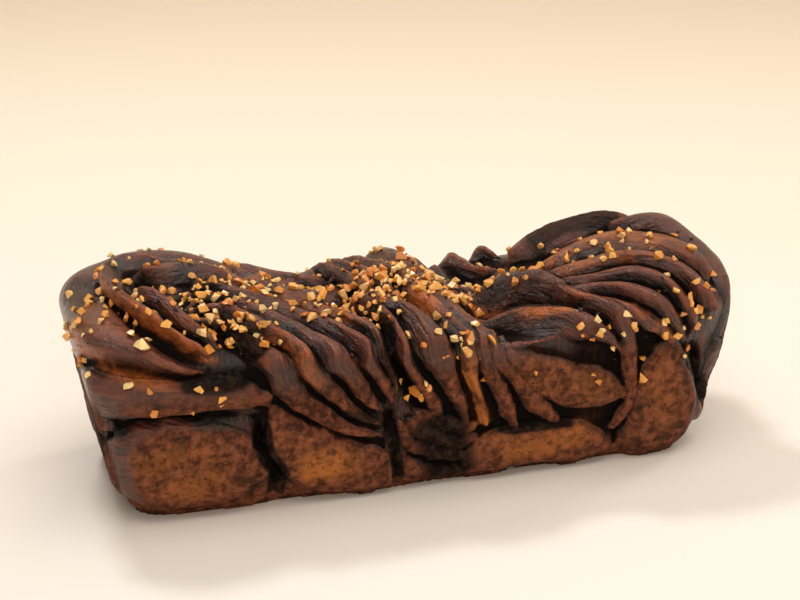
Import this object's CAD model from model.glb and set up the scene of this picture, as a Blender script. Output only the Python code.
"""Looks of the chocolate babka: its glazed crust in fine relief, the chopped nuts, the crumbs, and a pale studio.

The loaf's surface is worked out again here as the solid's is, only finer. A place on the loaf is given as
(along, round): along is the distance in millimetres from the middle, and round is the angle in degrees about the
long axis, 0 at the front, 90 on top and 180 at the back.
"""

import math
from dataclasses import dataclass, replace

import bmesh
import bpy
import numpy as np
from mathutils import Matrix, Vector, noise
from mathutils.bvhtree import BVHTree


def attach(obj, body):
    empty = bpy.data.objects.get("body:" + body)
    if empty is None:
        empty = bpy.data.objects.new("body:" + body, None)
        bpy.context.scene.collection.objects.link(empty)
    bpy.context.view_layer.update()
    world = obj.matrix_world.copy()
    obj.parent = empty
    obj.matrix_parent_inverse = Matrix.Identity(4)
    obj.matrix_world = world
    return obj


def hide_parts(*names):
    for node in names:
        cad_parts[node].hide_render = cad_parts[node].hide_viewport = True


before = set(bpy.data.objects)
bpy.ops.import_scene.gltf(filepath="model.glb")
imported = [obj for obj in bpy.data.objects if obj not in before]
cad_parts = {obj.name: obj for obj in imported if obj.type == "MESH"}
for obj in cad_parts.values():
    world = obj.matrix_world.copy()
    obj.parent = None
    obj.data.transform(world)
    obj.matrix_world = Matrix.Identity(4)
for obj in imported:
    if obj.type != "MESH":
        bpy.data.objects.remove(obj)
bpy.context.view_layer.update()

# The camera, at the photograph's angle.
CAMERA_AZIMUTH = -16.63
CAMERA_ELEVATION = 22.0
CAMERA_DISTANCE = 0.809
CAMERA_TARGET = (0.0002, 0.0003, 0.0688)
CAMERA_LENS = 85.5

# Fineness of the visible surface, in millimetres and triangles.
BLANK_VOXEL = 1.8
FINE_VOXEL = 1.1
FINE_TRIANGLES = 185000

# Colours.
NEAR_BLACK = (0.006, 0.0025, 0.002)
DARK_BROWN = (0.022, 0.0062, 0.0035)
RED_BROWN = (0.092, 0.017, 0.0055)
RUST = (0.22, 0.046, 0.011)
ORANGE = (0.46, 0.11, 0.018)
WALL_DARK = (0.055, 0.018, 0.011)
WALL_BROWN = (0.27, 0.088, 0.042)
WALL_ORANGE = (0.46, 0.15, 0.035)
OLIVE_CHAR = (0.022, 0.017, 0.012)
CHAR = (0.0035, 0.0025, 0.002)
NUT_CREAM = (0.95, 0.66, 0.27)
NUT_GOLD = (0.90, 0.42, 0.07)
NUT_TOAST = (0.68, 0.21, 0.025)
BACKDROP_NEAR = (0.88, 0.82, 0.75)
BACKDROP_FAR = (0.90, 0.76, 0.565)


@dataclass(frozen=True)
class Patch:
    """A stripe of the crust's colour."""

    route: tuple
    half_width: float
    amount: float = 1.0


# Where the dough browned orange, and where bare dark filling shows.
BROWNED = (
    Patch(((-123, 90), (-119, 68), (-111, 53), (-104, 45), (-97, 38), (-87, 33)), 2.4, 0.8),
    Patch(((-136, 78), (-132, 52), (-123, 35), (-114, 29), (-104, 26)), 3.4, 0.85),
    Patch(((-128, 82), (-124, 60), (-114, 46)), 7.0, 0.3),
    Patch(((-97, 112), (-80, 110), (-62, 104)), 3.0, 0.7),
    Patch(((-75, 40), (-62, 36), (-54, 26), (-47, 16)), 4.0, 0.5),
    Patch(((-58, 88), (-44, 74), (-32, 58), (-26, 44)), 4.0, 0.35),
    Patch(((15, 22), (18, 6), (21, -9), (25, -24)), 4.2, 0.95),
    Patch(((-2, 66), (2, 54), (6, 44)), 3.6, 0.95),
    Patch(((4, 96), (6, 80), (10, 62)), 3.2, 0.5),
    Patch(((27, 50), (37, 54), (44, 49), (52, 37), (65, 33)), 2.6, 0.95),
    Patch(((26, 80), (37, 74), (46, 56)), 2.6, 0.75),
    Patch(((64, 98), (78, 99), (94, 93), (107, 82), (117, 68)), 7.5, 0.75),
    Patch(((66, 68), (78, 68), (92, 64), (106, 54)), 2.6, 0.6),
    Patch(((66, 48), (80, 38), (96, 26), (108, 18)), 2.6, 0.5),
    Patch(((-56, -30), (-36, -28)), 8.5, 0.95),
    Patch(((-112, -34), (-84, -28)), 8.0, 0.4),
    Patch(((-125, -18), (-90, -12)), 7.0, 0.3),
    Patch(((30, -32), (50, -34), (70, -30)), 7.5, 0.6),
    Patch(((98, 6), (104, -10), (106, -30)), 8.0, 0.28),
    Patch(((-66, -10), (-50, -14)), 4.0, 0.3),
    Patch(((38, 14), (58, 4), (78, -6)), 9.0, 0.2),
)
FILLING = (
    Patch(((-103, 27), (-90, 24), (-74, 25)), 6.5, 0.75),
    Patch(((-86, 48), (-76, 40), (-71, 30)), 5.0, 0.9),
    Patch(((-16, 40), (-17, 27), (-13, 15), (-9, 4), (-7, -6)), 4.2, 1.0),
    Patch(((-17, -9), (-15, -23), (-12, -44)), 3.6, 1.0),
    Patch(((22, 70), (32, 64), (44, 52), (56, 42), (66, 36)), 4.2, 1.0),
    Patch(((-1, -6), (4, -18), (8, -36), (12, -46)), 15.0, 0.75),
    Patch(((-112, 96), (-106, 90), (-99, 78)), 7.5, 1.0),
    Patch(((-100, 66), (-88, 74), (-74, 66)), 6.0, 0.8),
    Patch(((-150, 10), (-144, -12), (-138, -34)), 9.0, 0.75),
    Patch(((-73, 0), (-69, -16), (-64, -32), (-65, -48)), 4.6, 1.0),
    Patch(((66, 130), (90, 124), (112, 116)), 8.0, 0.6),
    Patch(((-46, 118), (-32, 112), (-20, 104)), 10.0, 0.8),
    Patch(((118, 12), (126, -8), (128, -36)), 4.0, 0.9),
    Patch(((34, 86), (48, 80), (60, 60)), 8.0, 0.5),
    Patch(((-40, 2), (-28, -4), (-16, -6)), 5.0, 0.6),
    Patch(((18, -22), (44, -22), (66, -24)), 3.0, 0.8),
)

# Crumbs of filling, as the nuts are given below.
CRUMB_PATCHES = (
    ((-90, 60), (20, 14), 70),
    ((-20, 84), (22, 20), 60),
    ((30, 80), (16, 30), 50),
    ((100, 50), (20, 30), 30),
)
CRUMB_SEED = 11

# Corners of a chopped piece, and how far apart the bands' counts across them start.
CHUNK_CORNERS = 11
BIT_SMALLEST = 1.6
BIT_LARGEST = 3.6
BAND_START = 31.0

MM = 0.001

# The tin, in millimetres. Its walls lean outwards.
BASE_HALF_LENGTH = 128.0
BASE_HALF_WIDTH = 43.0
END_LEAN = 0.177
SIDE_LEAN = 0.12
RIM_HEIGHT = 66.0
BASE_EDGE_RADIUS = 8.0
CORNER_SQUARENESS = 9.0
WALL_SOFTNESS = 2.4

# Dough this near the tin's floor lies flat on it.
FLOOR_REACH = 1.8

# The crown rounds off over the ends by this share of how it rounds off over the sides.
END_ROUNDING = 0.5

# The blank stands inside the tin by this much, which the ridges of dough then fill.
BLANK_INSET = 3.4

# Where no dough lies on the blank it is hollowed by this much, from this height up. Ridges narrower than NARROW
# have shallower sides, and every other band of a strand stands PROUDER.
HOLLOW = 2.0
HOLLOW_FROM = 14.0
NARROW = 6.0
PROUDER = 0.7

# Height of the blank's crown along the loaf. The gaps between strands are its low places.
CROWN_ALONG = (-140, -112, -85, -50, -32, 4, 33, 60, 100, 122, 142)
CROWN_HEIGHT = (87, 92, 85, 71, 69, 76, 57, 71, 85, 88, 79)

# The loaf's own axis, about which places on it are counted.
AXIS_HEIGHT = 42.0
STRAIGHT_HALF = 95.0
END_REACH = 48.0

# Ridges stand less proud on the walls, where the tin held them, than on the crown, and least near the floor.
LIFT_HEIGHTS = (0, 14, 50, 76)
LIFT_SHARES = (0.25, 0.66, 0.66, 1.0)

# How far the creases stray from their routes, and over what distance.
WANDER = 2.0
WANDER_SIZE = 19.0
WANDER_FINE_SIZE = 6.0
SWELLING = 1.6
SWELLING_SIZE = 26.0

# Fineness of the routes.
ROUTE_STEP = 3.0

# Chopped nuts: patches as (along, round), how far they scatter along and round, and how many.
NUT_PATCHES = (
    ((-119, 84), (9, 22), 22),
    ((-136, 60), (6, 16), 9),
    ((-93, 70), (10, 9), 42),
    ((-82, 49), (8, 6), 36),
    ((-60, 92), (14, 14), 34),
    ((-34, 88), (12, 14), 26),
    ((-13, 74), (10, 12), 36),
    ((-2, 98), (12, 11), 52),
    ((14, 74), (7, 8), 18),
    ((26, 104), (11, 18), 44),
    ((42, 122), (10, 12), 12),
    ((-20, 54), (14, 8), 12),
    ((9, 30), (6, 6), 11),
    ((-5, 8), (3, 4), 7),
    ((63, 96), (11, 16), 15),
    ((93, 76), (12, 13), 14),
    ((113, 34), (7, 14), 13),
    ((79, 26), (15, 5), 9),
    ((63, 8), (18, 5), 3),
    ((-94, 16), (14, 5), 5),
    ((-68, 38), (4, 8), 3),
    ((-20, 128), (60, 12), 30),
)
NUT_SMALLEST = 2.8
NUT_LARGEST = 6.0
NUT_SINK = 0.16
NUT_SPACING = 0.48
NUT_SEED = 7


@dataclass(frozen=True)
class Ridge:
    """A band of dough on the blank: its route, half its width, how high its crest lifts off the blank, and how far
    its sides fall from the crest, in millimetres. squareness flattens the crest and skew moves it to one side."""

    route: tuple
    half_width: object
    lift: float = 5.0
    depth: float = 6.0
    squareness: float = 2.2
    skew: float = 0.0
    taper: float = 0.6


@dataclass(frozen=True)
class Groove:
    """A narrow gap between bands."""

    route: tuple
    half_width: float
    depth: float


def blend_routes(first, last, share):
    """The route a share of the way from the first to the last."""
    return tuple(tuple(a + (b - a) * share for a, b in zip(p, q)) for p, q in zip(first, last))


def gap_between(first, last):
    """The distance between two routes at each of their places, in millimetres."""
    girth = math.radians(1) * END_REACH
    return [math.hypot(p[0] - q[0], (p[1] - q[1]) * girth) for p, q in zip(first, last)]


def bands(creases, overlap=1.06, **looks):
    """One band of dough between each two neighbouring creases. Every other band stands a little prouder."""
    made = []
    for index, (first, last) in enumerate(zip(creases, creases[1:])):
        half = tuple(max(1.8, overlap * gap / 2) for gap in gap_between(first, last))
        band = Ridge(blend_routes(first, last, 0.5), half, **looks)
        made.append(replace(band, lift=band.lift + PROUDER * (index % 2)))
    return made


def bundle(first, last, count, **looks):
    """Layers of one width side by side between the two edges of a cut strand."""
    return bands([blend_routes(first, last, i / count) for i in range(count + 1)], **looks)


def turned(route):
    """The route's place on the loaf's other side: a twist of two strands is the same turned half round."""
    return tuple((-along, 180 - turn) for along, turn in route)


def behind(features):
    """The same features on the loaf's other side."""
    return [replace(f, route=turned(f.route)) for f in features]


def end_hook():
    """The strand that turns round the left end and comes down the front."""
    start = ((-84, 150), (-112, 152), (-150, 140), (-154, 100), (-148, 64))
    outer = (*start, (-135, 48), (-124, 36), (-115, 30), (-104, 26), (-88, 21))
    start = ((-66, 112), (-92, 112), (-116, 112), (-123, 96), (-121, 76))
    inner = (*start, (-116, 58), (-110, 49), (-104, 42), (-96, 36), (-87, 31))
    start = ((-70, 104), (-90, 104), (-110, 104), (-116, 94), (-115, 76))
    lip = (*start, (-110, 62), (-105, 54), (-99, 47), (-93, 40), (-86, 35))
    return [
        *bands([outer, inner], lift=6.4, depth=8.0, squareness=2.6, skew=-0.15),
        *bands([inner, lip], lift=7.6, depth=8.0, skew=-0.3),
        Ridge(((-112, 84), (-106, 68), (-99, 54), (-91, 43), (-84, 36)), 3.4, lift=5.6, depth=6.0, taper=1.0),
        Ridge(((-58, 106), (-78, 106), (-97, 102), (-110, 100)), 6.5, lift=6.8, depth=7.0),
        Ridge(((-56, 124), (-80, 130), (-104, 130), (-130, 126)), 12.0, lift=6.8, depth=7.0, squareness=2.6),
        Ridge(
            ((-156, 74), (-146, 40), (-130, 23), (-116, 18), (-102, 17), (-88, 18), (-70, 12)),
            (7, 11, 11.5, 10, 9.5, 11, 11.5),
            lift=5.8,
            depth=7.0,
            squareness=3.4,
            taper=0.25,
        ),
    ]


def second_strand():
    """The fan of layers that sweeps from the knot near the left end down to the front."""
    creases = [
        ((-96, 50), (-87, 46), (-79, 36), (-70, 23), (-63, 9), (-52, -3), (-38, -15), (-20, -23)),
        ((-97, 54), (-85, 55), (-73, 47), (-62, 34), (-54, 22), (-45, 9), (-34, -4), (-19, -15)),
        ((-98, 58), (-84, 64), (-70, 57), (-57, 41), (-48, 28), (-39, 17), (-29, 2), (-18, -10)),
        ((-98, 62), (-82, 73), (-65, 70), (-50, 55), (-41, 41), (-33, 29), (-25, 14), (-17, -5)),
        ((-98, 68), (-79, 85), (-59, 85), (-44, 70), (-35, 53), (-27, 38), (-20, 22), (-16, 2)),
        ((-96, 76), (-72, 97), (-51, 98), (-37, 86), (-28, 68), (-21, 48), (-17, 28), (-14, 6)),
    ]
    return bands(creases, lift=6.0, depth=8.0, taper=0.5, skew=-0.2)


def third_strand():
    """The layers of the middle crossing, from the front foot over the crown to the back foot."""
    halves = [
        ((-4, -16), (-6, -4), (-11, 12), (-16, 32), (-17, 52), (-18, 80)),
        ((10, -14), (4, 2), (-4, 17), (-10, 36), (-12, 56), (-12, 80)),
        ((19, -20), (15, 4), (11, 22), (4, 36), (-1, 56), (-4, 80)),
        ((28, -20), (23, 6), (18, 24), (11, 40), (7, 58), (4, 80)),
        ((44, -20), (34, 3), (24, 24), (17, 42), (13, 60), (12, 80)),
        ((64, -22), (45, -2), (31, 19), (22, 40), (20, 60), (18, 80)),
    ]
    creases = [(*near, *turned(far)[::-1]) for near, far in zip(halves, halves[::-1])]
    return [
        *bands(creases, lift=6.2, depth=8.5, taper=0.2, skew=-0.25),
        Ridge(((-46, 118), (-32, 112), (-20, 104)), 13.0, lift=6.0, depth=8.0),
        Ridge(((-24, 76), (-14, 64), (-6, 48)), 7.0, lift=8.0, depth=8.0),
    ]


def lens_stack():
    """The wide pointed layers of the right-hand crossing."""
    upper_low = ((26, 29), (37, 24), (51, 19), (66, 13), (87, 9))
    lower_low = ((27, 27), (36, 13), (48, -3), (62, -17), (84, -27))
    return [
        Ridge(((18, 66), (32, 82), (46, 82), (58, 68), (70, 44)), (7, 15, 16, 12, 6), lift=8.6, depth=9.5, skew=0.4),
        Ridge(((19, 44), (32, 44), (47, 39), (66, 27), (86, 12)), (3, 8, 9.5, 8, 4), lift=6.6, depth=8.0, skew=0.4),
        *bands([upper_low, lower_low], lift=5.6, depth=7.5, squareness=3.2, taper=0.35),
    ]


def right_dome():
    """The layers that run along the right end's crown and turn down its corner."""
    creases = [
        ((64, 112), (80, 118), (92, 114), (102, 104), (111, 95), (120, 86), (128, 66)),
        ((63, 86), (76, 82), (88, 76), (98, 71), (107, 66), (114, 58), (122, 40)),
        ((63, 70), (72, 63), (82, 62), (95, 59), (104, 50), (112, 40), (120, 24)),
        ((63, 60), (72, 53), (82, 51), (91, 48), (99, 42), (107, 31), (117, 16)),
        ((63, 54), (70, 47), (78, 42), (87, 37), (96, 30), (105, 22), (115, 10)),
        ((62, 48), (68, 42), (76, 34), (86, 28), (96, 22), (107, 15), (118, 2)),
    ]
    rim = ((58, 92), (64, 60), (70, 43), (78, 34), (84, 25), (87, 14), (89, 0), (88, -16), (82, -30))
    shell = ((104, 110), (122, 96), (134, 70), (139, 42), (138, 12), (133, -20))
    return [
        *bands(creases, lift=6.4, depth=8.5, taper=0.3, skew=-0.25),
        Ridge(rim, 3.8, lift=6.6, depth=6.5, taper=0.25),
        Ridge(shell, (7, 9, 10, 11, 11, 10), lift=8.0, depth=7.0, squareness=2.8, taper=0.3),
        Ridge(((58, 132), (78, 130), (96, 126), (114, 114)), 12.0, lift=9.0, depth=9.5),
    ]


def back_strands():
    """The bands that only the back shows, down its two ends."""
    upper = ((-70, 132), (-92, 138), (-114, 140), (-136, 142), (-142, 160), (-140, 185))
    lower = ((-66, 150), (-80, 160), (-96, 168), (-110, 178), (-116, 196), (-116, 214))
    return [
        *bundle(upper, lower, 3, lift=5.4, depth=7.0, taper=0.35),
        Ridge(((120, 122), (144, 118), (150, 130), (140, 143), (122, 152), (100, 160), (86, 166)), 11.0, lift=5.4),
        Ridge(((-60, 126), (-42, 134), (-26, 146), (-22, 170), (-24, 200)), 9.0, lift=5.0),
        Ridge(((34, 120), (34, 140), (28, 165), (26, 195)), 8.0, lift=4.6),
    ]


def foot_lobes():
    """The rounded bellies of the strands that the tin's walls and floor pressed flat."""
    flat = dict(squareness=5.0, depth=8.5, lift=6.6, taper=0.3)
    return [
        Ridge(((-138, -26), (-102, -24), (-73, -26)), 24.5, **flat),
        Ridge(((-66, 4), (-55, -20), (-36, -35), (-12, -38)), (9, 16, 17, 15), **flat),
        Ridge(((18, -36), (46, -35), (80, -40)), 15.0, **flat),
        Ridge(((100, -66), (104, -38), (106, -12), (104, 12)), (17, 20, 19, 15), **flat),
        Ridge(((-12, -58), (10, -60), (34, -58)), 9.0, **flat),
    ]


def dark_fan():
    """The arcs of bare filling at the middle strand's foot."""
    creases = [
        ((-6, -2), (3, -9), (13, -14), (21, -18)),
        ((-8, -9), (0, -18), (12, -23), (23, -23)),
        ((-12, -9), (-6, -22), (6, -29), (24, -28)),
        ((-15, -9), (-11, -26), (2, -36), (22, -35)),
        ((-17, -12), (-15, -36), (0, -47), (20, -46)),
    ]
    return bands(creases, lift=4.2, depth=6.0, taper=0.3)


def end_walls():
    """The strands' bellies on the tin's two end walls."""
    flat = dict(squareness=4.0, depth=8.0, lift=6.6, taper=0.25)
    walls = []
    for side in (-1, 1):
        low = ((side * 124, -38), (side * 152, -40), (side * 152, 220), (side * 124, 218))
        high = ((side * 136, 8), (side * 157, 12), (side * 157, 168), (side * 136, 172))
        walls += [Ridge(low, 17.0, **flat), Ridge(high, 16.0, **flat)]
    return walls


def gaps():
    """The deep dark gaps between the strands."""
    return [
        Groove(((-22, 60), (-17, 42), (-16, 28), (-12, 15), (-8, 4), (-5, -6)), 2.6, 8.0),
        Groove(((-17, -4), (-15, -22), (-12, -46)), 2.2, 6.0),
        Groove(((20, 58), (32, 62), (46, 58), (58, 48), (69, 38)), 3.6, 9.0),
        Groove(((118, 14), (124, -3), (127, -18), (126, -36)), 2.2, 7.0),
        Groove(((-112, 92), (-106, 90), (-100, 82)), 6.5, 12.0),
        Groove(((-136, -8), (-128, 1), (-120, 6), (-104, 6), (-90, 5), (-74, 0)), 1.6, 5.0),
        Groove(((-74, 2), (-70, -16), (-65, -32), (-66, -50)), 2.6, 6.0),
        Groove(((36, -50), (40, -62)), 4.0, 5.0),
        Groove(((86, -26), (84, -60)), 2.0, 3.0),
        Groove(((-62, 116), (-80, 118), (-97, 112), (-110, 116)), 2.4, 7.0),
        Groove(((-7, 74), (-3, 60), (1, 48), (7, 36)), 2.4, 6.0),
        Groove(((24, 50), (26, 36), (26, 28)), 2.4, 5.0),
    ]


def features():
    """All ridges and all grooves of the loaf."""
    front_feet = foot_lobes()
    ridges = [*end_hook(), *second_strand(), *third_strand(), *lens_stack(), *right_dome()]
    ridges += [*front_feet, *dark_fan(), *end_walls()]
    fan = [replace(r, route=r.route[3:], half_width=r.half_width[3:], taper=1.0) for r in second_strand()]
    ridges += [*back_strands(), *behind([*lens_stack(), *front_feet, *dark_fan(), *fan])]
    front_gaps = gaps()
    return ridges, front_gaps + behind([*front_gaps[:4], *front_gaps[5:9], front_gaps[11]])


def plan_ring(half_length, half_width, height, squareness, count=180):
    """A level outline of the blank: a rectangle with rounded corners."""
    turn = np.linspace(0, 2 * math.pi, count, endpoint=False)
    c, s = np.cos(turn), np.sin(turn)
    reach = (abs(c) ** squareness + abs(s) ** squareness) ** (-1 / squareness)
    return np.stack([half_length * reach * c, half_width * reach * s, np.full_like(c, height)], 1)


def blank_rings():
    """The blank's level outlines, from its base to its crown."""
    edge = BASE_EDGE_RADIUS
    rings = []
    turned = edge - edge * np.cos(np.linspace(0, math.pi / 2, 6))
    for z in [*turned, *np.linspace(edge, RIM_HEIGHT, 12)[1:]]:
        tuck = edge - math.sqrt(max(0.0, edge**2 - (edge - z) ** 2)) if z < edge else 0.0
        length = BASE_HALF_LENGTH + z * END_LEAN - BLANK_INSET - tuck
        width = BASE_HALF_WIDTH + z * SIDE_LEAN - BLANK_INSET - tuck
        rings.append(plan_ring(length, width, z, CORNER_SQUARENESS))
    for rise in np.linspace(0, math.pi / 2, 20)[1:-1]:
        shrink = math.cos(rise) ** 0.85
        squareness = CORNER_SQUARENESS - (CORNER_SQUARENESS - 2.5) * rise / (math.pi / 2)
        ring = plan_ring(length - (1 - shrink) * width * END_ROUNDING, width * shrink, 0.0, squareness)
        height = np.interp(ring[:, 0], CROWN_ALONG, CROWN_HEIGHT)
        ring[:, 2] = RIM_HEIGHT + (height - RIM_HEIGHT) * math.sin(rise)
        rings.append(ring)
    return rings


def blank_mesh(voxel):
    """The blank as an even closed mesh, in millimetres."""
    bm = bmesh.new()
    loops = [[bm.verts.new(p) for p in ring] for ring in blank_rings()]
    count = len(loops[0])
    for low, high in zip(loops, loops[1:]):
        for i in range(count):
            j = (i + 1) % count
            bm.faces.new((low[i], low[j], high[j], high[i]))
    bm.faces.new(loops[0][::-1])
    bm.faces.new(loops[-1])
    bmesh.ops.triangulate(bm, faces=bm.faces[:])
    mesh = bpy.data.meshes.new("blank")
    bm.to_mesh(mesh)
    bm.free()
    return evened(mesh, voxel, smooth=12)


def evened(mesh, voxel, smooth):
    """The mesh made again from even voxels, then smoothed."""
    obj = bpy.data.objects.new("evened", mesh)
    bpy.context.scene.collection.objects.link(obj)
    remesh = obj.modifiers.new("even", "REMESH")
    remesh.mode = "VOXEL"
    remesh.voxel_size = voxel
    soften = obj.modifiers.new("soften", "SMOOTH")
    soften.iterations = smooth
    return applied(obj)


def applied(obj):
    """The object's mesh with its modifiers applied. The object itself goes."""
    graph = bpy.context.evaluated_depsgraph_get()
    mesh = bpy.data.meshes.new_from_object(obj.evaluated_get(graph))
    bpy.data.objects.remove(obj)
    return mesh


def positions(mesh):
    values = np.zeros(len(mesh.vertices) * 3, np.float32)
    mesh.vertices.foreach_get("co", values)
    return values.reshape(-1, 3).astype(float)


def normals_of(mesh):
    values = np.zeros(len(mesh.vertices) * 3, np.float32)
    mesh.vertex_normals.foreach_get("vector", values)
    return values.reshape(-1, 3).astype(float)


def surface_tree(mesh):
    """The mesh as a tree for finding points on its surface."""
    mesh.calc_loop_triangles()
    corners = [tuple(t.vertices) for t in mesh.loop_triangles]
    return BVHTree.FromPolygons([v.co.copy() for v in mesh.vertices], corners)


def place(tree, along, turn):
    """The point of the surface at a place on the loaf, and the surface's normal there."""
    start = max(-STRAIGHT_HALF, min(STRAIGHT_HALF, along))
    tip = (along - start) / END_REACH
    turn = math.radians(turn)
    way = Vector((math.sin(tip), -math.cos(tip) * math.cos(turn), math.cos(tip) * math.sin(turn)))
    origin = Vector((start, 0, AXIS_HEIGHT))
    far = origin + way * 3 * END_REACH
    point, normal = tree.ray_cast(far, -way)[:2]
    if point is None:
        point, normal = tree.find_nearest(origin + way * END_REACH)[:2]
    return point, normal


def smooth_route(tree, route):
    """A Catmull-Rom curve through the route's places, laid on the surface, and where along it the places are."""
    knots = [np.array(place(tree, *p)[0]) for p in route]
    knots = [2 * knots[0] - knots[1], *knots, 2 * knots[-1] - knots[-2]]
    points, at = [], []
    for a, b, c, d in zip(knots, knots[1:], knots[2:], knots[3:]):
        steps = max(2, round(np.linalg.norm(c - b) / ROUTE_STEP))
        at.append(len(points))
        for t in np.arange(steps) / steps:
            way = (c - a) * t + (2 * a - 5 * b + 4 * c - d) * t**2 + (3 * b - a - 3 * c + d) * t**3
            points.append(b + 0.5 * way)
    at.append(len(points))
    points.append(knots[-2])
    line = np.array([tree.find_nearest(Vector(p))[0] for p in points])
    along = np.concatenate([[0], np.cumsum(np.linalg.norm(np.diff(line, axis=0), axis=1))])
    return line, along[at] / along[-1]


def measured_from(points, normals, line, reach):
    """For the points within reach of the line: which they are, their distance, side and share along it."""
    low, high = line.min(0) - reach, line.max(0) + reach
    near = np.nonzero(((points > low) & (points < high)).all(1))[0]
    best = np.full(len(near), np.inf)
    side = np.zeros(len(near))
    share = np.zeros(len(near))
    spans = np.diff(line, axis=0)
    lengths = np.maximum(np.linalg.norm(spans, axis=1), 1e-6)
    starts = np.concatenate([[0], np.cumsum(lengths)])
    for k, (start, span) in enumerate(zip(line, spans)):
        off = points[near] - start
        t = np.clip(off @ span / lengths[k] ** 2, 0, 1)
        off = off - t[:, None] * span
        distance = np.linalg.norm(off, axis=1)
        closer = distance < best
        best[closer] = distance[closer]
        across = np.cross(span / lengths[k], normals[near])
        side[closer] = np.sign((off * across).sum(1))[closer]
        share[closer] = ((starts[k] + t * lengths[k]) / starts[-1])[closer]
    inside = best < reach
    return near[inside], best[inside], side[inside], share[inside]


def ridge_height(ridge, widths, height, distance, side, share):
    """How high the ridge stands over the blank. Beside it, its sides fall on below the blank."""
    swell = np.sin(math.pi * np.clip(share, 0.015, 0.985)) ** ridge.taper
    across = side * distance / (widths * swell)
    bent = across + ridge.skew * np.maximum(1 - across**2, 0)
    lift = ridge.lift * np.interp(height, LIFT_HEIGHTS, LIFT_SHARES)
    return lift * swell**0.5 - ridge.depth * np.clip(widths / NARROW, 0.4, 1) * abs(bent) ** ridge.squareness


def relief(points, normals, tree):
    """How far each point of the blank is pushed out or in by the ridges and grooves."""
    ridges, grooves = features()
    strayed = points + wander(points)
    height = -HOLLOW * np.clip(points[:, 2] / HOLLOW_FROM, 0, 1)
    for ridge in ridges:
        line, at = smooth_route(tree, ridge.route)
        half = np.broadcast_to(ridge.half_width, len(at))
        near, distance, side, share = measured_from(strayed, normals, line, half.max() * 1.5)
        widths = np.interp(share, at, half)
        top = ridge_height(ridge, widths, points[near, 2], distance, side, share)
        height[near] = np.maximum(height[near], top)
    for groove in grooves:
        line, _ = smooth_route(tree, groove.route)
        near, distance, _, share = measured_from(strayed, normals, line, groove.half_width * 2)
        ends = np.clip(np.sin(math.pi * np.clip(share, 0, 1)), 0, 1) ** 0.4
        height[near] -= groove.depth * ends * np.exp(-1.6 * (distance / groove.half_width) ** 2)
    return height


def wander(points):
    """A smooth stray, which makes the creases uneven."""
    broad = np.array([noise.noise_vector(Vector(p) / WANDER_SIZE) for p in points])
    fine = np.array([noise.noise_vector(Vector(p) / WANDER_FINE_SIZE) for p in points])
    return WANDER * (broad + 0.3 * fine)


def swelling(points):
    """The dough's uneven rise."""
    return SWELLING * np.array([noise.noise(Vector(p) / SWELLING_SIZE) for p in points])


def press_into_tin(points):
    """Holds the dough inside the tin's walls and floor, with a soft stop."""
    z = np.clip(points[:, 2], 0, RIM_HEIGHT + 8)
    soft = WALL_SOFTNESS
    for axis, base, lean in ((0, BASE_HALF_LENGTH, END_LEAN), (1, BASE_HALF_WIDTH, SIDE_LEAN)):
        wall = base + lean * z - soft
        over = np.abs(points[:, axis]) - wall
        held = wall + soft * np.tanh(np.maximum(over, 0) / soft)
        points[:, axis] = np.where(over > 0, np.sign(points[:, axis]) * held, points[:, axis])
    points[:, 2] = np.where(points[:, 2] < FLOOR_REACH, 0.0, points[:, 2])
    return points


def shaped_loaf(voxel):
    """The loaf's surface: the blank with its ridges, pressed by the tin, in millimetres."""
    mesh = blank_mesh(voxel)
    points, normals = positions(mesh), normals_of(mesh)
    height = relief(points, normals, surface_tree(mesh)) + swelling(points)
    points = points + normals * height[:, None]
    mesh.vertices.foreach_set("co", points.astype(np.float32).ravel())
    mesh = evened(mesh, voxel, smooth=2)
    points = press_into_tin(positions(mesh))
    mesh.vertices.foreach_set("co", points.astype(np.float32).ravel())
    mesh.update()
    return mesh


def nut_spots():
    """Where each piece of nut lies and how large it is, the largest first: (along, round, size) in each."""
    draw = np.random.default_rng(NUT_SEED)
    spots = []
    for (along, turn), (far_along, far_round), count in NUT_PATCHES:
        for _ in range(count):
            size = NUT_SMALLEST + (NUT_LARGEST - NUT_SMALLEST) * draw.beta(1.6, 2.4)
            spots.append((along + far_along * draw.normal(), turn + far_round * draw.normal(), size))
    spots.sort(key=lambda spot: -spot[2])
    kept = []
    girth = math.radians(1) * END_REACH
    for spot in spots:
        apart = [math.hypot(spot[0] - k[0], (spot[1] - k[1]) * girth) / (spot[2] + k[2]) for k in kept]
        if min(apart, default=1) > NUT_SPACING:
            kept.append(spot)
    return kept


def thinned(mesh, triangles):
    """The mesh with fewer triangles, which stay where its creases are."""
    obj = bpy.data.objects.new("thinned", mesh)
    bpy.context.scene.collection.objects.link(obj)
    fewer = obj.modifiers.new("fewer", "DECIMATE")
    fewer.ratio = triangles / (2 * len(mesh.polygons))
    return applied(obj)


def measured_patch(points, normals, tree, patch):
    """How much of a patch of colour each point takes, from 0 to 1."""
    line, _ = smooth_route(tree, patch.route)
    near, distance, _, share = measured_from(points, normals, line, patch.half_width * 1.6)
    ends = np.clip(np.minimum(share, 1 - share) * 8 + 0.3, 0, 1)
    amount = np.zeros(len(points))
    amount[near] = ends * np.clip(1.6 - 1.3 * distance / patch.half_width, 0, 1)
    return amount


def neighbour_means(mesh):
    """A function that gives the mean of each vertex's neighbours."""
    edges = np.zeros(len(mesh.edges) * 2, np.int32)
    mesh.edges.foreach_get("vertices", edges)
    first, second = edges.reshape(-1, 2).T
    count = len(mesh.vertices)
    degree = np.bincount(first, minlength=count) + np.bincount(second, minlength=count)

    def mean(values):
        total = np.bincount(first, values[second], count) + np.bincount(second, values[first], count)
        return total / degree

    return mean


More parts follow.
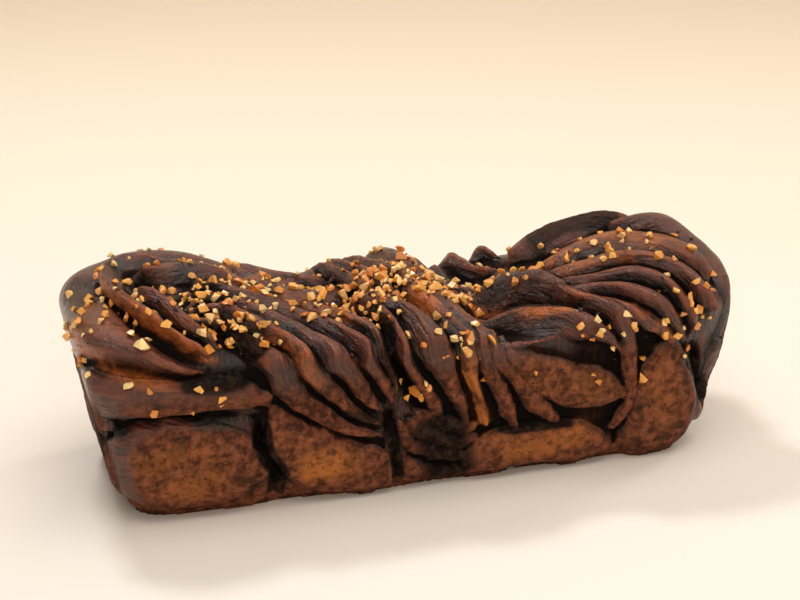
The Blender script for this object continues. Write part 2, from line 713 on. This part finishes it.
def crests(mesh, rounds):
    """How far each vertex stands above the surface evened out over its surroundings, in millimetres."""
    points, normals = positions(mesh), normals_of(mesh)
    mean = neighbour_means(mesh)
    even = points.copy()
    for _ in range(rounds):
        for axis in range(3):
            even[:, axis] = mean(even[:, axis])
    return ((points - even) * normals).sum(1)


def rough(points, size, octaves=3):
    """Noise from about -1 to 1 at each point."""
    return np.array([noise.fractal(Vector(p) / size, 0.8, 2.0, octaves) for p in points])



def add_values(mesh, name, values):
    layer = mesh.attributes.new(name, "FLOAT", "POINT")
    layer.data.foreach_set("value", values.astype(np.float32))


def grain_of_bands(places, heights, normals, tree):
    """How far across and how far along its band each place lies, in millimetres, with a start of its own a band."""
    best = np.full(len(places), -HOLLOW)
    across, run = places[:, 0].copy(), places[:, 2].copy()
    for index, ridge in enumerate(features()[0]):
        line, at = smooth_route(tree, ridge.route)
        half = np.broadcast_to(ridge.half_width, len(at))
        near, distance, side, share = measured_from(places, normals, line, half.max() * 1.5)
        top = ridge_height(ridge, np.interp(share, at, half), heights[near], distance, side, share)
        higher = top > best[near]
        chosen = near[higher]
        best[chosen] = top[higher]
        across[chosen] = (side * distance)[higher] + BAND_START * index
        run[chosen] = share[higher] * np.linalg.norm(np.diff(line, axis=0), axis=1).sum()
    return across, run


def fine_loaf():
    """The loaf's fine surface, with what its colours follow kept at each vertex."""
    base = blank_mesh(BLANK_VOXEL)
    base_tree = surface_tree(base)
    mesh = shaped_loaf(FINE_VOXEL)
    mesh = thinned(mesh, FINE_TRIANGLES)
    points, normals = positions(mesh), normals_of(mesh)
    ground = np.array([base_tree.find_nearest(Vector(p))[0] for p in points])
    strayed = ground + wander(ground)
    parts = {}
    parts["across"], parts["run"] = grain_of_bands(strayed, ground[:, 2], normals, base_tree)
    for name, patches in (("browning", BROWNED), ("filling", FILLING)):
        total = np.zeros(len(points))
        for patch in patches:
            total = np.maximum(total, patch.amount * measured_patch(strayed, normals, base_tree, patch))
        parts[name] = total
    wall_y = BASE_HALF_WIDTH + SIDE_LEAN * points[:, 2]
    wall_x = BASE_HALF_LENGTH + END_LEAN * points[:, 2]
    near = np.minimum(wall_y - abs(points[:, 1]), wall_x - abs(points[:, 0]))
    parts["pressed"] = np.clip(1.9 - near / 2.5, 0, 1) * np.clip((RIM_HEIGHT - points[:, 2]) / 16, 0, 1)
    parts["pressed"] = np.maximum(parts["pressed"], np.clip((16 - points[:, 2]) / 8, 0, 1))
    grain = rough(points, 2.2)
    coarse = rough(points, 7.0)
    bumps = 0.28 * parts["pressed"] * grain + 0.16 * coarse + 0.5 * parts["filling"] * grain
    moved = points + normals * (bumps * (points[:, 2] > FLOOR_REACH))[:, None]
    mesh.vertices.foreach_set("co", moved.astype(np.float32).ravel())
    mesh.update()
    parts["crest"] = crests(mesh, 30)
    parts["fine_crest"] = crests(mesh, 6)
    for name, values in parts.items():
        add_values(mesh, name, values)
    return mesh


def chunk(draw, size):
    """One chopped piece of nut, with flat broken faces and sharp corners."""
    bm = bmesh.new()
    for _ in range(CHUNK_CORNERS):
        bm.verts.new(Vector(draw.normal(size=3)).normalized() * draw.uniform(0.82, 1.08))
    hull = bmesh.ops.convex_hull(bm, input=bm.verts[:])
    bmesh.ops.delete(bm, geom=[v for v in hull["geom_interior"] if v.is_valid], context="VERTS")
    bm.transform(Matrix.Diagonal((0.60 * size, 0.50 * size, 0.42 * size, 1)))
    return bm


def scattered(tree, spots, seed, sink):
    """All the pieces at their spots as one mesh, with a shade of its own for each piece."""
    draw = np.random.default_rng(seed)
    verts, faces, shades = [], [], []
    for along, turn, size in spots:
        point, normal = place(tree, along, turn)
        bm = chunk(draw, size)
        lie = normal.to_track_quat("Z", "Y").to_matrix().to_4x4()
        spin = Matrix.Rotation(draw.uniform(0, 2 * math.pi), 4, "Z")
        tip = Matrix.Rotation(draw.uniform(-0.5, 0.5), 4, "X")
        bm.transform(Matrix.Translation(point + normal * size * (0.36 - sink)) @ lie @ spin @ tip)
        bm.verts.index_update()
        start = len(verts)
        verts += [v.co.copy() for v in bm.verts]
        faces += [[start + v.index for v in f.verts] for f in bm.faces]
        shades += [draw.uniform(0, 1)] * len(bm.verts)
        bm.free()
    mesh = bpy.data.meshes.new("scattered")
    mesh.from_pydata(verts, [], faces)
    add_values(mesh, "shade", np.array(shades))
    return mesh


def bit_spots():
    """Where the smallest bits of nut lie, in among the larger ones."""
    draw = np.random.default_rng(NUT_SEED + 5)
    spots = []
    for (along, turn), (far_along, far_round), count in NUT_PATCHES:
        for _ in range(count):
            place_along = along + 0.9 * far_along * draw.normal()
            place_round = turn + 0.9 * far_round * draw.normal()
            spots.append((place_along, place_round, draw.uniform(BIT_SMALLEST, BIT_LARGEST)))
    return spots


def crumb_spots():
    """Where small crumbs of filling lie."""
    draw = np.random.default_rng(CRUMB_SEED)
    spots = []
    for (along, turn), (far_along, far_round), count in CRUMB_PATCHES:
        for _ in range(count):
            place_along = along + far_along * draw.normal()
            place_round = turn + far_round * draw.normal()
            spots.append((place_along, place_round, draw.uniform(0.8, 2.2)))
    return spots


def shown(mesh, name, material, smooth=True):
    """The mesh as a piece of the loaf, in metres."""
    mesh.transform(Matrix.Scale(MM, 4))
    mesh.polygons.foreach_set("use_smooth", [smooth] * len(mesh.polygons))
    mesh.materials.clear()
    mesh.materials.append(material)
    obj = bpy.data.objects.new(name, mesh)
    bpy.context.scene.collection.objects.link(obj)
    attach(obj, "root")
    return obj


class Nodes:
    """Builds a material's shader nodes."""

    def __init__(self, name):
        self.material = bpy.data.materials.new(name)
        self.material.use_nodes = True
        self.tree = self.material.node_tree
        self.shader = self.tree.nodes["Principled BSDF"]

    def set(self, socket, value):
        target = self.shader.inputs[socket]
        if hasattr(value, "links"):
            self.tree.links.new(value, target)
        else:
            target.default_value = value

    def feed(self, node, index, value):
        if hasattr(value, "links"):
            self.tree.links.new(value, node.inputs[index])
        else:
            node.inputs[index].default_value = value

    def attribute(self, name):
        node = self.tree.nodes.new("ShaderNodeAttribute")
        node.attribute_name = name
        return node.outputs["Fac"]

    def noise(self, scale, detail=4.0, roughness=0.6, distortion=0.0):
        node = self.tree.nodes.new("ShaderNodeTexNoise")
        where = self.tree.nodes.new("ShaderNodeTexCoord")
        self.tree.links.new(where.outputs["Object"], node.inputs["Vector"])
        node.inputs["Scale"].default_value = scale
        node.inputs["Detail"].default_value = detail
        node.inputs["Roughness"].default_value = roughness
        node.inputs["Distortion"].default_value = distortion
        return node.outputs["Fac"]

    def streaks(self, across, run, scale, detail=3.0):
        """Noise drawn out along the bands."""
        node = self.tree.nodes.new("ShaderNodeTexNoise")
        where = self.tree.nodes.new("ShaderNodeCombineXYZ")
        self.feed(where, 0, across)
        self.feed(where, 1, self.math("MULTIPLY", run, 0.09))
        self.tree.links.new(where.outputs["Vector"], node.inputs["Vector"])
        node.inputs["Scale"].default_value = scale
        node.inputs["Detail"].default_value = detail
        return node.outputs["Fac"]

    def depth(self):
        """The place's own Y."""
        where = self.tree.nodes.new("ShaderNodeTexCoord")
        node = self.tree.nodes.new("ShaderNodeSeparateXYZ")
        self.tree.links.new(where.outputs["Object"], node.inputs["Vector"])
        return node.outputs["Y"]

    def cells(self, scale):
        node = self.tree.nodes.new("ShaderNodeTexVoronoi")
        where = self.tree.nodes.new("ShaderNodeTexCoord")
        self.tree.links.new(where.outputs["Object"], node.inputs["Vector"])
        node.inputs["Scale"].default_value = scale
        return node.outputs["Distance"]

    def span(self, value, low, high, out_low=0.0, out_high=1.0):
        node = self.tree.nodes.new("ShaderNodeMapRange")
        node.interpolation_type = "SMOOTHSTEP"
        self.feed(node, "Value", value)
        node.inputs["From Min"].default_value = low
        node.inputs["From Max"].default_value = high
        node.inputs["To Min"].default_value = out_low
        node.inputs["To Max"].default_value = out_high
        return node.outputs["Result"]

    def math(self, operation, a, b):
        node = self.tree.nodes.new("ShaderNodeMath")
        node.operation = operation
        self.feed(node, 0, a)
        self.feed(node, 1, b)
        return node.outputs["Value"]

    def mix(self, share, a, b):
        node = self.tree.nodes.new("ShaderNodeMix")
        node.data_type = "RGBA"
        self.feed(node, "Factor", share)
        for index, color in ((6, a), (7, b)):
            self.feed(node, index, color if hasattr(color, "links") else (*color, 1))
        return node.outputs[2]

    def bump(self, height, distance, strength=1.0, under=None):
        node = self.tree.nodes.new("ShaderNodeBump")
        self.feed(node, "Height", height)
        node.inputs["Distance"].default_value = distance
        node.inputs["Strength"].default_value = strength
        if under is not None:
            self.tree.links.new(under, node.inputs["Normal"])
        return node.outputs["Normal"]


def crust_material():
    """Dark glazed crust: black filling in the creases, red-brown dough on the crests, matte where the tin pressed."""
    n = Nodes("glazed_crust")
    crest = n.attribute("crest")
    fine = n.attribute("fine_crest")
    browning = n.attribute("browning")
    filling = n.attribute("filling")
    pressed = n.attribute("pressed")
    lines = n.streaks(n.attribute("across"), n.attribute("run"), 0.55)
    broad = n.noise(42.0, 3.0)
    mottle = n.noise(260.0, 5.0, 0.65)
    blotch = n.noise(110.0, 4.0, 0.6, 0.4)
    grain = n.noise(1100.0, 4.0, 0.6)
    color = n.mix(n.span(n.math("ADD", lines, broad), 0.85, 1.2), NEAR_BLACK, DARK_BROWN)
    uneven = n.math("ADD", crest, n.math("MULTIPLY", n.math("SUBTRACT", broad, 0.5), 5.0))
    uneven = n.math("ADD", uneven, n.math("MULTIPLY", n.math("SUBTRACT", lines, 0.5), 3.5))
    uneven = n.math("ADD", uneven, n.math("MULTIPLY", n.math("SUBTRACT", mottle, 0.5), 2.0))
    color = n.mix(n.span(uneven, -0.6, 1.6), color, RED_BROWN)
    sharp = n.math("ADD", fine, n.math("MULTIPLY", n.math("SUBTRACT", lines, 0.5), 1.2))
    color = n.mix(n.span(sharp, 0.25, 0.6, 0, 0.7), color, RUST)
    wall = n.mix(n.span(mottle, 0.34, 0.68), WALL_DARK, WALL_BROWN)
    wall = n.mix(n.span(blotch, 0.52, 0.66, 0, 0.6), wall, OLIVE_CHAR)
    color = n.mix(n.math("MULTIPLY", pressed, n.span(crest, -0.9, -0.2, 0, 0.95)), color, wall)
    amount = n.math("MULTIPLY", browning, n.span(n.math("ADD", mottle, blotch), 0.78, 1.1, 0.2, 1.0))
    color = n.mix(amount, color, n.mix(pressed, ORANGE, WALL_ORANGE))
    spots = n.math("MULTIPLY", n.span(n.cells(330.0), 0.34, 0.12), n.span(blotch, 0.48, 0.6))
    color = n.mix(n.math("MULTIPLY", spots, n.span(pressed, 0.2, 0.8, 0.4, 0.6)), color, CHAR)
    char = n.mix(n.span(mottle, 0.45, 0.6), CHAR, OLIVE_CHAR)
    shown_filling = n.math("ADD", filling, n.math("MULTIPLY", n.math("SUBTRACT", mottle, 0.5), 0.8))
    color = n.mix(n.span(shown_filling, 0.3, 0.7, 0, 0.92), color, char)
    color = n.mix(n.span(crest, -0.5, -1.3, 0, 0.95), color, CHAR)
    n.set("Base Color", color)
    matte = n.math("MAXIMUM", filling, n.math("MULTIPLY", pressed, 0.85))
    matte = n.math("MAXIMUM", matte, n.span(crest, -0.1, -1.1))
    rough_now = n.math("ADD", n.span(matte, 0.1, 0.9, 0.36, 0.7), n.span(mottle, 0.3, 0.7, -0.08, 0.1))
    n.set("Roughness", rough_now)
    n.set("Coat Weight", n.span(matte, 0.1, 0.8, 0.65, 0.02))
    n.set("Coat Roughness", 0.16)
    drawn = n.bump(n.math("MULTIPLY", lines, n.span(pressed, 0.2, 0.9, 1.0, 0.25)), 0.0022, 0.9)
    waves = n.bump(mottle, 0.0014, 0.8, drawn)
    pits = n.bump(n.span(n.cells(520.0), 0.0, 0.5), 0.0006, 0.5, waves)
    n.set("Normal", n.bump(grain, 0.0005, 0.8, pits))
    n.set("Coat Normal", n.bump(n.noise(700.0, 4.0), 0.0009, 0.9, waves))
    n.set("Specular IOR Level", n.span(matte, 0.1, 0.9, 0.34, 0.08))
    n.set("Specular Tint", (1.0, 0.72, 0.55, 1))
    return n.material


def nut_material():
    """Roasted nut: cream to deep golden, glossy with glaze."""
    n = Nodes("chopped_nut")
    shade = n.attribute("shade")
    mottle = n.noise(700.0, 3.0)
    color = n.mix(n.span(shade, 0.0, 0.5), NUT_CREAM, NUT_GOLD)
    color = n.mix(n.span(shade, 0.5, 1.0), color, NUT_TOAST)
    color = n.mix(n.span(mottle, 0.45, 0.75, 0, 0.6), color, NUT_TOAST)
    n.set("Base Color", color)
    n.set("Roughness", 0.38)
    n.set("Coat Weight", 0.35)
    n.set("Coat Roughness", 0.2)
    n.set("Subsurface Weight", 0.12)
    n.set("Subsurface Scale", 0.002)
    n.set("Normal", n.bump(n.noise(1300.0, 3.0), 0.0002, 0.5))
    return n.material


def crumb_material():
    """Crumbs of dark filling."""
    n = Nodes("filling_crumb")
    n.set("Base Color", n.mix(n.span(n.attribute("shade"), 0.4, 1.0), NEAR_BLACK, RUST))
    n.set("Roughness", 0.45)
    return n.material


def plain(name, color, roughness):
    n = Nodes(name)
    n.set("Base Color", (*color, 1))
    n.set("Roughness", roughness)
    n.set("Specular IOR Level", 0.1)
    return n


def surroundings():
    """A pale floor that curves up into a pale wall."""
    profile = [(-0.9, 0.0), (0.9, 0.0)]
    for step in range(1, 13):
        turn = math.pi / 2 * step / 12
        profile.append((0.9 + 0.6 * math.sin(turn), 0.6 - 0.6 * math.cos(turn)))
    profile.append((1.5, 2.5))
    verts = [(x, y, z) for x in (-2.5, 2.5) for y, z in profile]
    count = len(profile)
    faces = [(i, i + 1, count + i + 1, count + i) for i in range(count - 1)]
    mesh = bpy.data.meshes.new("backdrop")
    mesh.from_pydata(verts, [], faces)
    mesh.polygons.foreach_set("use_smooth", [True] * len(mesh.polygons))
    paper = plain("pale_backdrop", BACKDROP_NEAR, 0.9)
    paper.set("Base Color", paper.mix(paper.span(paper.depth(), -0.5, 0.9), BACKDROP_NEAR, BACKDROP_FAR))
    mesh.materials.append(paper.material)
    obj = bpy.data.objects.new("backdrop", mesh)
    bpy.context.scene.collection.objects.link(obj)
    turn = math.radians(CAMERA_AZIMUTH)
    obj.rotation_euler = (0, 0, turn)


def area_light(name, place_at, look_at, size, power, color):
    light = bpy.data.lights.new(name, "AREA")
    light.shape = "RECTANGLE"
    light.size, light.size_y = size
    light.energy = power
    light.color = color
    obj = bpy.data.objects.new(name, light)
    obj.location = place_at
    way = Vector(look_at) - Vector(place_at)
    obj.rotation_euler = way.to_track_quat("-Z", "Y").to_euler()
    bpy.context.scene.collection.objects.link(obj)


def lighting():
    world = bpy.data.worlds.new("studio")
    world.use_nodes = True
    world.node_tree.nodes["Background"].inputs["Color"].default_value = (1.0, 0.94, 0.86, 1)
    world.node_tree.nodes["Background"].inputs["Strength"].default_value = 0.25
    bpy.context.scene.world = world
    area_light("top", (0.1, -0.25, 1.3), (0, 0, 0.05), (1.6, 1.0), 11.5, (1.0, 0.96, 0.92))
    area_light("front", (0.1, -1.2, 0.6), (0, 0, 0.05), (1.6, 0.7), 5.5, (1.0, 0.94, 0.86))
    area_light("sparkle", (-0.25, 0.6, 1.05), (0, 0, 0.05), (0.2, 0.16), 6.0, (0.93, 0.94, 1.0))
    area_light("right", (0.9, 0.3, 0.7), (0.05, 0, 0.05), (0.2, 0.2), 1.8, (0.97, 0.97, 1.0))


def camera():
    a, e = math.radians(CAMERA_AZIMUTH), math.radians(CAMERA_ELEVATION)
    back = Vector((math.sin(a) * math.cos(e), -math.cos(a) * math.cos(e), math.sin(e)))
    data = bpy.data.cameras.new("camera")
    data.sensor_width = 36.0
    data.lens = CAMERA_LENS
    data.clip_start = 0.01
    obj = bpy.data.objects.new("camera", data)
    obj.location = Vector(CAMERA_TARGET) + back * CAMERA_DISTANCE
    obj.rotation_euler = back.to_track_quat("Z", "Y").to_euler()
    bpy.context.scene.collection.objects.link(obj)
    bpy.context.scene.camera = obj


def main():
    bpy.context.scene.view_settings.view_transform = "Standard"
    loaf_mesh = fine_loaf()
    tree = surface_tree(loaf_mesh)
    nuts = scattered(tree, nut_spots() + bit_spots(), NUT_SEED + 1, NUT_SINK)
    crumbs = scattered(tree, crumb_spots(), CRUMB_SEED + 1, 0.1)
    loaf = shown(loaf_mesh, "crust", crust_material())
    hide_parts("loaf")
    shown(nuts, "chopped_nuts", nut_material(), smooth=False)
    shown(crumbs, "crumbs", crumb_material(), smooth=False)
    surroundings()
    lighting()
    camera()


main()
